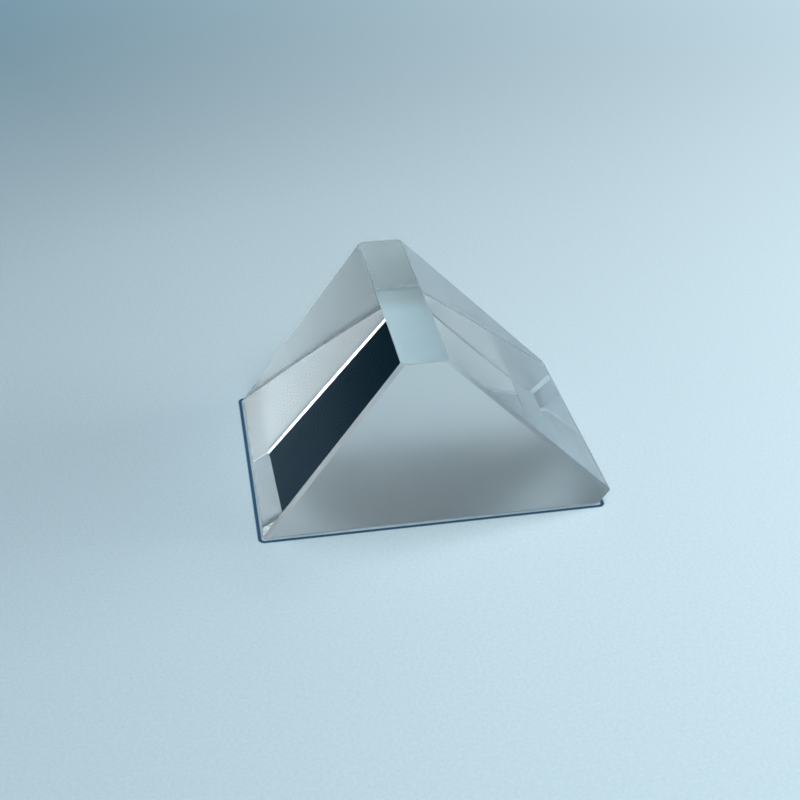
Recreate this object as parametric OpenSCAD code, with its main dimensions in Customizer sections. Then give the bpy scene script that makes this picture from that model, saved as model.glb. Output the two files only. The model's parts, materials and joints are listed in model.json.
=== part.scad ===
// Right angle prism: one block of clear optical glass that lies on its widest face, the
// hypotenuse face. Two polished leg faces slope up from it, the left one steeper than the
// right one, and a narrow polished flat is ground along the apex edge where they would meet.
// The two end faces are fine ground. The right-hand sharp edge is blunted by a flat parallel
// to the left leg face. Every edge has a protective chamfer, widest around the end faces and
// no more than a hairline around the apex flat.
// X runs across the section, Y along the prism and Z up. The origin is on the hypotenuse
// face, below the middle of the block's bounding box.

/* [Section] */
// Width of the hypotenuse face between its two sharp edges, before either is ground
hypotenuse_width = 29; // [15:0.5:80]
// Angle between the left leg face and the hypotenuse face, in degrees; the two leg angles
// add up to 90 when the apex is an exact right angle
left_leg_angle = 54; // [30:0.5:60]
// Angle between the right leg face and the hypotenuse face, in degrees
right_leg_angle = 45; // [30:0.5:60]
// Width of the flat ground along the apex edge
apex_flat = 3.6; // [1:0.1:5]

/* [Length] */
// Length between the two ground end faces
prism_length = 20; // [8:0.5:100]

/* [Edges] */
// Width of the chamfers where the end faces meet the leg and hypotenuse faces
end_chamfer_width = 0.4; // [0.1:0.05:0.5]
// Width of the chamfers along the left sharp edge and along both sides of the blunting flat
side_chamfer_width = 0.25; // [0.1:0.05:0.5]
// Width of the hairline chamfers around the apex flat
apex_chamfer_width = 0.05; // [0.05:0.05:0.3]
// Width of the flat that blunts the right-hand sharp edge
blunt_width = 1.5; // [0.8:0.1:2.5]

/* [Hidden] */

glass = [0.78, 0.88, 0.92, 0.45];

// Run of both legs together for each millimetre that they rise
run_per_rise = 1 / tan(left_leg_angle) + 1 / tan(right_leg_angle);
// Height of the flat that is ground along the apex edge
height = (hypotenuse_width - apex_flat) / run_per_rise;

// Distance along the hypotenuse face from the blunting flat to the sharp edge it takes off
blunt_setback = blunt_width * sin(left_leg_angle + right_leg_angle) / sin(right_leg_angle);

// Corners of the section before the chamfers, as [x, z], running up from the left sharp edge
// by way of the hypotenuse face: left sharp edge, foot and top of the blunting flat, and the
// right and left edges of the apex flat
left_edge = [-hypotenuse_width / 2, 0];
blunt_foot = [hypotenuse_width / 2 - blunt_setback, 0];
blunt_top = blunt_foot + blunt_width * [cos(left_leg_angle), sin(left_leg_angle)];
apex_right = [hypotenuse_width / 2 - height / tan(right_leg_angle), height];
apex_left = [-hypotenuse_width / 2 + height / tan(left_leg_angle), height];
corners = [left_edge, blunt_foot, blunt_top, apex_right, apex_left];

// Item of a list that is read as a closed loop
function looped(list, i) = list[(i + len(list)) % len(list)];

// Unit vector from point a to point b
function direction(a, b) = (b - a) / norm(b - a);

// The two points that take the place of corner i when a chamfer of the given width cuts it
// square to the line that halves its angle
function chamfered(i, width) =
    let (corner = corners[i])
    let (back = direction(corner, looped(corners, i - 1)))
    let (ahead = direction(corner, looped(corners, i + 1)))
    let (setback = width / norm(ahead - back))
    [corner + setback * back, corner + setback * ahead];

// Corners 3 and 4 bound the apex flat, which runs from the first of them to the second
first_apex_corner = 3;
function corner_chamfer(i) = i < first_apex_corner ? side_chamfer_width : apex_chamfer_width;
function face_chamfer(i) = i == first_apex_corner ? apex_chamfer_width : end_chamfer_width;

section = [for (i = [0 : len(corners) - 1]) each chamfered(i, corner_chamfer(i))];
section_x = [for (point = section) point[0]];
middle_x = (min(section_x) + max(section_x)) / 2;

// Size of the square blocks that cut the end chamfers, larger than any face they cut
cutter_size = 2 * (hypotenuse_width + prism_length);

// Everything on the far side of the plane that chamfers one end edge: the edge between the
// end face that looks along end (-1 or 1) in Y and the long face from point a to point b
module end_chamfer(a, b, end, width) {
    along = direction(a, b);
    outward = [along[1], end, -along[0]];
    tilt = acos(outward[2] / norm(outward));
    turn = atan2(outward[1], outward[0]);
    translate([a[0], end * prism_length / 2, a[1]])
        rotate([0, tilt, turn])
            translate([-cutter_size / 2, -cutter_size / 2, -width / 2])
                cube(cutter_size);
}

module blank() {
    translate([0, prism_length / 2, 0])
        rotate([90, 0, 0])
            linear_extrude(prism_length)
                polygon(section);
}

module prism() {
    color(glass)
        translate([-middle_x, 0, 0])
            difference() {
                blank();
                for (i = [0 : len(corners) - 1]) {
                    for (end = [-1, 1]) {
                        end_chamfer(corners[i], looped(corners, i + 1), end, face_chamfer(i));
                    }
                }
            }
}

prism();
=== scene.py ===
import json
import math

import bmesh
import bpy
import numpy as np
from mathutils import Matrix, Vector


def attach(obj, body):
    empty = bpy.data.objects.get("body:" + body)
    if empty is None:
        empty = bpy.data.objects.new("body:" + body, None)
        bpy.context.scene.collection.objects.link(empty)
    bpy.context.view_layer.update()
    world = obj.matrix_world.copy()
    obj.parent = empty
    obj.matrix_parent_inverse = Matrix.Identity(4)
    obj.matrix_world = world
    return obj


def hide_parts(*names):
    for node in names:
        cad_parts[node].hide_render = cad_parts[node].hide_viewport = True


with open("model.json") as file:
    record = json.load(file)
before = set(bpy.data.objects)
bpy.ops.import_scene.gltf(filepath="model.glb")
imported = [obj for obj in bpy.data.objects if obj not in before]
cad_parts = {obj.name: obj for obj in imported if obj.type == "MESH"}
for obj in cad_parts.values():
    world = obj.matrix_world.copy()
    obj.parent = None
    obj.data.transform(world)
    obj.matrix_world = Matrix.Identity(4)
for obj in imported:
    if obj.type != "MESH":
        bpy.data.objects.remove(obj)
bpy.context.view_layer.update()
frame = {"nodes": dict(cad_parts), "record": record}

# --- Prism -------------------------------------------------------------------------------
# One block of dense, colourless optical glass, sawn from a slab. Its four long faces are lapped
# and polished, its two ends are left fine ground, and the protective chamfers and the flat that
# blunts the right-hand edge are dressed by hand.
MM = 0.001


def linear(hex_colour):
    """sRGB hex to linear RGBA: below 0.04045 the value over 12.92, above it
    ((value + 0.055) / 1.055) to the power 2.4."""
    srgb = np.array([int(hex_colour[i:i + 2], 16) / 255 for i in (1, 3, 5)])
    rgb = np.where(srgb <= 0.04045, srgb / 12.92, ((srgb + 0.055) / 1.055) ** 2.4)
    return (*rgb.tolist(), 1.0)


def add_node(tree, kind, settings=None, links=None):
    """Adds a node of the given kind. Settings are input values by name, or attributes of the
    node where it has one of that name; links join its inputs to the outputs given."""
    node = tree.nodes.new(kind)
    for name, value in (settings or {}).items():
        if hasattr(node, name):
            setattr(node, name, value)
        else:
            node.inputs[name].default_value = value
    for name, output in (links or {}).items():
        tree.links.new(output, node.inputs[name])
    return node


def new_material(name):
    """A material with an empty node tree and its output node."""
    material = bpy.data.materials.new(name)
    material.use_nodes = True
    material.node_tree.nodes.clear()
    output = material.node_tree.nodes.new("ShaderNodeOutputMaterial")
    return material, material.node_tree, output


def mix_colour(tree, factor, first, second):
    """Output that runs from the first colour to the second as the factor goes from 0 to 1.
    Each of the two is either a colour or another node's output."""
    mix = add_node(tree, "ShaderNodeMix", {"data_type": "RGBA"})
    tree.links.new(factor, mix.inputs[0])
    for socket, colour in zip(mix.inputs[6:8], (first, second)):
        if isinstance(colour, tuple):
            socket.default_value = colour
        else:
            tree.links.new(colour, socket)
    return mix.outputs[2]


# Dense flint: heavy, clear and without a tint that shows in so small a block
GLASS_INDEX = 1.733
GLASS_COLOUR = linear("#fbfdfd")


def add_glass(tree, roughness, reflection_tint, links=None):
    """The bare glass with a given finish. The tint colours and weakens its reflection."""
    return add_node(tree, "ShaderNodeBsdfPrincipled", {
        "Base Color": GLASS_COLOUR,
        "Roughness": roughness,
        "IOR": GLASS_INDEX,
        "Specular Tint": linear(reflection_tint),
        "Transmission Weight": 1.0,
    }, links)


# Pitch-polished long faces: mirror smooth, with a coating against reflections that leaves a
# faint blue bloom. The coating takes away a share of what bare glass throws back. It fades out
# towards glancing and critical angles, between two values of the bare reflection.
COATING_SHARE = 0.6
FADES_FROM = 0.17
FADES_TO = 0.34
polished_glass, tree, output = new_material("coated_polished_flint_glass")
bare = add_glass(tree, 0.0, "#80c0ff")
clear = add_node(tree, "ShaderNodeBsdfRefraction", {
    "Color": GLASS_COLOUR,
    "Roughness": 0.0,
    "IOR": GLASS_INDEX,
})
thrown_back = add_node(tree, "ShaderNodeFresnel", {"IOR": GLASS_INDEX})
share = add_node(tree, "ShaderNodeMapRange", {
    "From Min": FADES_FROM,
    "From Max": FADES_TO,
    "To Min": COATING_SHARE,
    "To Max": 0.0,
}, {"Value": thrown_back.outputs["Fac"]})
coated = add_node(tree, "ShaderNodeMixShader", links={"Fac": share.outputs["Result"]})
tree.links.new(bare.outputs["BSDF"], coated.inputs[1])
tree.links.new(clear.outputs["BSDF"], coated.inputs[2])
tree.links.new(coated.outputs["Shader"], output.inputs["Surface"])

# Ends ground with fine loose grit: a silky grey surface that scatters what passes
GRIT = 0.03 * MM
GRIT_SPACING = 4 * GRIT
PIT_DEPTH = 0.2 * GRIT
ground_glass, tree, output = new_material("fine_ground_flint_glass")
place = add_node(tree, "ShaderNodeTexCoord")
grit = add_node(tree, "ShaderNodeTexNoise", {"Scale": 1 / GRIT_SPACING, "Detail": 2.0},
                {"Vector": place.outputs["Object"]})
relief = add_node(tree, "ShaderNodeBump", {"Strength": 0.12, "Distance": PIT_DEPTH},
                  {"Height": grit.outputs["Fac"]})
shader = add_glass(tree, 0.5, "#ffffff", {"Normal": relief.outputs["Normal"]})
tree.links.new(shader.outputs["BSDF"], output.inputs["Surface"])

# Chamfers and blunting flat dressed on a finer lap: smoother than the ends, with a weak glint
dressed_glass, tree, output = new_material("dressed_flint_glass_edges")
shader = add_glass(tree, 0.3, "#5a7080")
tree.links.new(shader.outputs["BSDF"], output.inputs["Surface"])

# The block takes its planes from the frame's solid. The record's mounts tell them apart: the
# end faces are ground, its other mounts are polished, and planes that are no mount are dressed.
SAME_PLANE = math.radians(0.5)
SAME_POINT = 0.001 * MM
block = bmesh.new()
block.from_mesh(frame["nodes"]["prism"].data)
bmesh.ops.remove_doubles(block, verts=block.verts, dist=SAME_POINT)
bmesh.ops.dissolve_limit(block, angle_limit=SAME_PLANE, verts=block.verts, edges=block.edges)
prism_mesh = bpy.data.meshes.new("prism_block")
block.to_mesh(prism_mesh)
block.free()
finishes = (polished_glass, ground_glass, dressed_glass)
for finish in finishes:
    prism_mesh.materials.append(finish)
seats = frame["record"]["mounts"]
polished_axes = np.array([seat["axis"] for seat in seats if "end_face" not in seat["name"]])
ground_axes = np.array([seat["axis"] for seat in seats if "end_face" in seat["name"]])
normals = np.empty(3 * len(prism_mesh.polygons))
prism_mesh.polygons.foreach_get("normal", normals)
normals = normals.reshape(-1, 3)
is_polished = (normals @ polished_axes.T).max(axis=1) > math.cos(SAME_PLANE)
is_ground = (normals @ ground_axes.T).max(axis=1) > math.cos(SAME_PLANE)
finish_index = np.select([is_polished, is_ground], [finishes.index(polished_glass),
                                                    finishes.index(ground_glass)],
                         finishes.index(dressed_glass)).astype(np.int32)
prism_mesh.polygons.foreach_set("material_index", finish_index)

prism = bpy.data.objects.new("prism_block", prism_mesh)
bpy.context.collection.objects.link(prism)
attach(prism, "root")
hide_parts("prism")

# --- Floor -------------------------------------------------------------------------------
# A sheet of matt pale blue card on a table. The prism rests on its fibres, which keeps a film
# of air under the hypotenuse face.
FLOOR_SIZE = 4.0
AIR_FILM = 0.02 * MM
FIBRE_SPACING = 0.25 * MM

card, tree, output = new_material("matt_pale_blue_card")
place = add_node(tree, "ShaderNodeTexCoord")
fibre = add_node(tree, "ShaderNodeTexNoise", {"Scale": 1 / FIBRE_SPACING, "Detail": 3.0},
                 {"Vector": place.outputs["Object"]})
tone = mix_colour(tree, fibre.outputs["Fac"], linear("#b9cad0"), linear("#d2dcdf"))


def vector_step(tree, operation, first, second=None):
    """First output of one step of vector arithmetic on an output and, where the step takes
    two, a constant vector."""
    step = add_node(tree, "ShaderNodeVectorMath", {"operation": operation})
    tree.links.new(first, step.inputs[0])
    if second is not None:
        step.inputs[1].default_value = second
    return step.outputs[0]


def length_of(tree, vector):
    """Output of the length of a vector."""
    length = add_node(tree, "ShaderNodeVectorMath", {"operation": "LENGTH"})
    tree.links.new(vector, length.inputs[0])
    return length.outputs["Value"]


# How far a point of the card lies outside the foot of the block, in X and in Y. The Z part is
# held well below zero, so that it never counts.
ON_THE_CARD = 0.01 * MM
corners = np.empty(3 * len(prism_mesh.vertices))
prism_mesh.vertices.foreach_get("co", corners)
corners = corners.reshape(-1, 3)
foot = corners[corners[:, 2] < ON_THE_CARD, :2]
foot_middle = (foot.min(axis=0) + foot.max(axis=0)) / 2
foot_half = (foot.max(axis=0) - foot.min(axis=0)) / 2
from_middle = vector_step(tree, "SUBTRACT", place.outputs["Object"], (*foot_middle.tolist(), 0))
unsigned = vector_step(tree, "ABSOLUTE", from_middle)
beyond = vector_step(tree, "SUBTRACT", unsigned, (*foot_half.tolist(), 1))

# Well under the block the card is painted paler, as painted light, because little light is
# brought there
PAINTED_LIGHT_EDGE = 1.6 * MM
PAINTED_LIGHT_DEPTH = 3.6 * MM
sides = add_node(tree, "ShaderNodeSeparateXYZ")
tree.links.new(beyond, sides.inputs[0])
nearest = add_node(tree, "ShaderNodeMath", {"operation": "MAXIMUM"})
tree.links.new(sides.outputs["X"], nearest.inputs[0])
tree.links.new(sides.outputs["Y"], nearest.inputs[1])
painted_light_share = add_node(tree, "ShaderNodeMapRange", {
    "From Min": -PAINTED_LIGHT_DEPTH,
    "From Max": -PAINTED_LIGHT_EDGE,
    "To Min": 1.0,
    "To Max": 0.0,
}, {"Value": nearest.outputs["Value"]})
# Painted light: the card's tone runs into a paler blue well under the block
card_with_painted_light = mix_colour(tree, painted_light_share.outputs["Result"], tone, linear("#d8ebf3"))

# A painted shadow: a fine dark line of contact shade runs round the foot of the block. It is
# painted in here, for direct view only, and isn't a shadow that the lamps cast. Each stop has a
# share of the painted shadow's reach from the foot, and the depth of the shadow there.
PAINTED_SHADOW_REACH = 1.0 * MM
PAINTED_SHADOW_STOPS = ((0.22, 0.0), (0.3, 1.0), (0.5, 1.0), (0.6, 0.0))
gap = length_of(tree, vector_step(tree, "MAXIMUM", beyond, (0, 0, 0)))
across_painted_shadow = add_node(tree, "ShaderNodeMapRange", {"From Min": 0.0, "From Max": PAINTED_SHADOW_REACH},
                       {"Value": gap})
painted_shadow_ramp = add_node(tree, "ShaderNodeValToRGB", links={"Fac": across_painted_shadow.outputs["Result"]})
while len(painted_shadow_ramp.color_ramp.elements) < len(PAINTED_SHADOW_STOPS):
    painted_shadow_ramp.color_ramp.elements.new(1.0)
for stop, (position, depth) in zip(painted_shadow_ramp.color_ramp.elements, PAINTED_SHADOW_STOPS):
    stop.position = position
    stop.color = (depth, depth, depth, 1)
rays = add_node(tree, "ShaderNodeLightPath")
painted_shadow_drawn = add_node(tree, "ShaderNodeMath", {"operation": "MULTIPLY"})
tree.links.new(painted_shadow_ramp.outputs["Color"], painted_shadow_drawn.inputs[0])
tree.links.new(rays.outputs["Is Camera Ray"], painted_shadow_drawn.inputs[1])
# The painted shadow's dark blue goes over the card here
card_with_painted_shadow = mix_colour(tree, painted_shadow_drawn.outputs["Value"], card_with_painted_light, linear("#1c4a66"))
shader = add_node(tree, "ShaderNodeBsdfPrincipled", {"Roughness": 0.9}, {"Base Color": card_with_painted_shadow})


def backdrop_with_painted_light(tree, direction):
    """Output of the backdrop's colour: a pale blue sweep with painted window light, lighter
    towards the right, by the X part of a unit vector that points at the backdrop."""
    darkest, lightest = -0.35, 0.7
    parts = add_node(tree, "ShaderNodeSeparateXYZ")
    tree.links.new(direction, parts.inputs[0])
    painted_window_light = add_node(tree, "ShaderNodeMapRange",
                         {"From Min": darkest, "From Max": lightest},
                         {"Value": parts.outputs["X"]})
    return mix_colour(tree, painted_window_light.outputs["Result"], linear("#7599ac"), linear("#c8e0eb"))


# Seen directly, the card turns into the backdrop, with its painted window light, where the
# reach of the lamps ends
SWEEP_FROM = 0.05
SWEEP_BEYOND = 0.16
sweep = add_node(tree, "ShaderNodeMapRange",
                 {"From Min": SWEEP_FROM, "From Max": SWEEP_BEYOND},
                 {"Value": length_of(tree, place.outputs["Object"])})
direct = add_node(tree, "ShaderNodeMath", {"operation": "MULTIPLY"})
tree.links.new(sweep.outputs["Result"], direct.inputs[0])
tree.links.new(rays.outputs["Is Camera Ray"], direct.inputs[1])
outward = vector_step(tree, "NORMALIZE", place.outputs["Object"])
backdrop = add_node(tree, "ShaderNodeEmission", {"Strength": 1.0},
                    {"Color": backdrop_with_painted_light(tree, outward)})
sheet = add_node(tree, "ShaderNodeMixShader", links={"Fac": direct.outputs["Value"]})
tree.links.new(shader.outputs["BSDF"], sheet.inputs[1])
tree.links.new(backdrop.outputs["Emission"], sheet.inputs[2])
tree.links.new(sheet.outputs["Shader"], output.inputs["Surface"])

floor_mesh = bpy.data.meshes.new("floor")
half = FLOOR_SIZE / 2
floor_mesh.from_pydata(
    [(-half, -half, -AIR_FILM), (half, -half, -AIR_FILM), (half, half, -AIR_FILM),
     (-half, half, -AIR_FILM)], [], [(0, 1, 2, 3)])
floor_mesh.materials.append(card)
floor = bpy.data.objects.new("floor", floor_mesh)
bpy.context.collection.objects.link(floor)

# --- Light -------------------------------------------------------------------------------
# A still life lit mostly from the right, by a low row of softboxes and two window-like panels.
# The others are a soft light overhead, one high at the front right, a small one high at the
# back right, and weaker fills at the front and left.
LAMP_DISTANCE = 0.2


def add_softbox(name, azimuth, elevation, width, height, radiance, colour):
    """A rectangular area lamp that faces the origin from LAMP_DISTANCE away. Azimuth is in
    degrees from +Y towards +X. Its power is radiance times pi times its area."""
    turn, tip = math.radians(azimuth), math.radians(elevation)
    towards = Vector((math.cos(tip) * math.sin(turn), math.cos(tip) * math.cos(turn),
                      math.sin(tip)))
    lamp = bpy.data.lights.new(name, "AREA")
    lamp.shape = "RECTANGLE"
    lamp.size = width
    lamp.size_y = height
    lamp.energy = radiance * math.pi * width * height
    lamp.color = linear(colour)[:3]
    holder = bpy.data.objects.new(name, lamp)
    holder.location = LAMP_DISTANCE * towards
    holder.rotation_euler = (-towards).to_track_quat("-Z", "Y").to_euler()
    holder.visible_camera = False
    bpy.context.collection.objects.link(holder)


add_softbox("right_back_low", 60, 6, 0.1, 0.04, 5.6, "#d3ecff")
add_softbox("right_low", 90, 6, 0.1, 0.04, 4.6, "#d9f0ff")
add_softbox("right_front_low", 120, 6, 0.1, 0.04, 4.8, "#def5ff")
add_softbox("right_window", 90, 21, 0.1, 0.06, 8.8, "#fcfffc")
add_softbox("right_front_window", 120, 21, 0.1, 0.06, 2.3, "#fafffa")
add_softbox("back_right_spot", 64, 50, 0.04, 0.04, 5.0, "#ffffff")
add_softbox("overhead", 90, 76, 0.085, 0.085, 8.6, "#e0f1ff")
add_softbox("front_right_high", 135, 60, 0.08, 0.07, 5.8, "#fffffa")
add_softbox("front_fill", 180, 30, 0.1, 0.07, 2.9, "#9bd8ff")
add_softbox("left_low", 255, 13, 0.24, 0.08, 0.9, "#bce5ff")
add_softbox("left_high", 225, 60, 0.08, 0.07, 1.8, "#f9fff2")

# Seen directly the room is the pale backdrop, with painted window light. What the glass throws
# back or lets through comes from a dark blue room.
world = bpy.data.worlds.new("studio")
bpy.context.scene.world = world
world.use_nodes = True
tree = world.node_tree
tree.nodes.clear()
rays = add_node(tree, "ShaderNodeLightPath")
view = add_node(tree, "ShaderNodeTexCoord")
room = mix_colour(tree, rays.outputs["Is Camera Ray"], linear("#071a22"),
                  backdrop_with_painted_light(tree, view.outputs["Generated"]))
background = add_node(tree, "ShaderNodeBackground", {"Strength": 1.0}, {"Color": room})
world_output = tree.nodes.new("ShaderNodeOutputWorld")
tree.links.new(background.outputs["Background"], world_output.inputs["Surface"])

# --- Camera ------------------------------------------------------------------------------
# The camera looks down on the front end from a little to the left. Its place is worked out
# from how far it is turned, tipped and rolled, in radians, and from where its axis passes the
# middle of the hypotenuse face before its edges are ground. The middle of the block's box lies
# SECTION_MIDDLE from there. FOCAL is in pixels of an image that is IMAGE_SIDE wide.
SECTION_WIDTH = 29 * MM
SECTION_MIDDLE = -0.574 * MM
TURN = 0.1861
TIP = 0.5791
ROLL = 0.0103
DISTANCE = 3.7509 * SECTION_WIDTH
ASIDE = 0.0661 * SECTION_WIDTH
BELOW = -0.1401 * SECTION_WIDTH
FOCAL = 1287.58
IMAGE_SIDE = 800
SENSOR = 36.0

ahead = np.array([math.sin(TURN) * math.cos(TIP), math.cos(TURN) * math.cos(TIP),
                  -math.sin(TIP)])
level = np.array([math.cos(TURN), -math.sin(TURN), 0])
upright = np.cross(level, ahead)
across = math.cos(ROLL) * level + math.sin(ROLL) * upright
up = math.cos(ROLL) * upright - math.sin(ROLL) * level
eye = -DISTANCE * ahead - ASIDE * across - BELOW * up - np.array([SECTION_MIDDLE, 0, 0])

lens = bpy.data.cameras.new("camera")
lens.sensor_fit = "HORIZONTAL"
lens.sensor_width = SENSOR
lens.lens = FOCAL / IMAGE_SIDE * SENSOR
lens.clip_start = 0.005
camera = bpy.data.objects.new("camera", lens)
pose = np.eye(4)
pose[:3, :] = np.column_stack([across, up, -ahead, eye])
camera.matrix_world = Matrix(pose.tolist())
bpy.context.collection.objects.link(camera)
bpy.context.scene.camera = camera

bpy.context.scene.view_settings.view_transform = "Standard"
